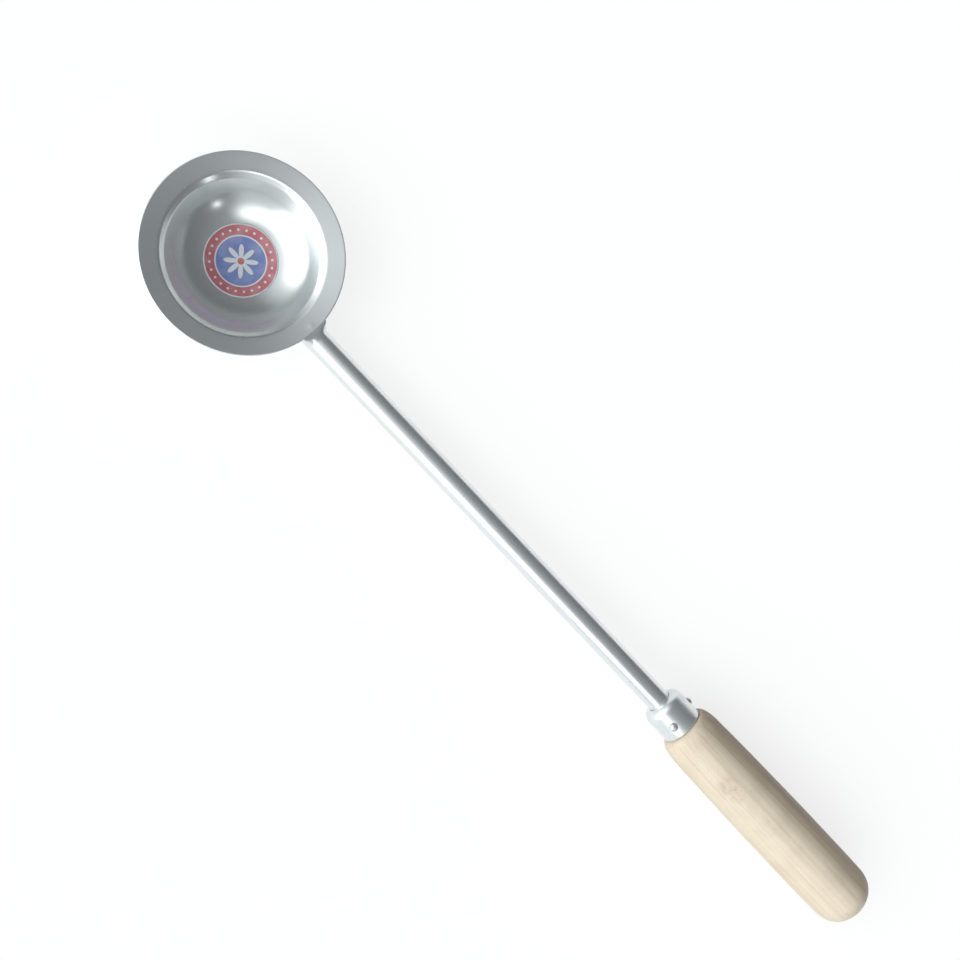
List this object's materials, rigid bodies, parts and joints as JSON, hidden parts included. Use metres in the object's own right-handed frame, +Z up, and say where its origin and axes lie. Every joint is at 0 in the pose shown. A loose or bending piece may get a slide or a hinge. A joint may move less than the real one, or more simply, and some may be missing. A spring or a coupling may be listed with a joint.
{
  "type": "serving ladle",
  "caption": "Ladle with a flanged round steel bowl, a straight tube shaft welded under the brim, a nailed steel ferrule and a turned wooden grip, lying as on a table.",
  "frame": {"origin": "centre of the bounding box in plan, at table height, with the ladle lying on its bowl and grip", "axes": "+X from the bowl to the end of the grip, +Z up out of the open bowl, y = 0 the plane that mirrors all but the nails"},
  "size_m": [0.5028, 0.0978, 0.0341],
  "materials": {
    "bowl_steel": "spun stainless sheet, polished dish and satin brim",
    "label_paper": "printed gloss paper",
    "shaft_steel": "polished stainless tube",
    "weld_steel": "ground weld bead",
    "ferrule_steel": "drawn stainless cup",
    "nail_steel": "bright steel",
    "grip_wood": "sanded pale hardwood with a thin clear coat"
  },
  "bodies": {
    "root": {"bowl": "bowl_steel", "label": "label_paper", "shaft_tube": "shaft_steel", "wall_weld": "weld_steel", "rim_weld": "weld_steel", "ferrule": "ferrule_steel", "ferrule_nail_1": "nail_steel", "ferrule_nail_2": "nail_steel", "ferrule_nail_3": "nail_steel", "grip": "grip_wood"}
  },
  "joints": []
}
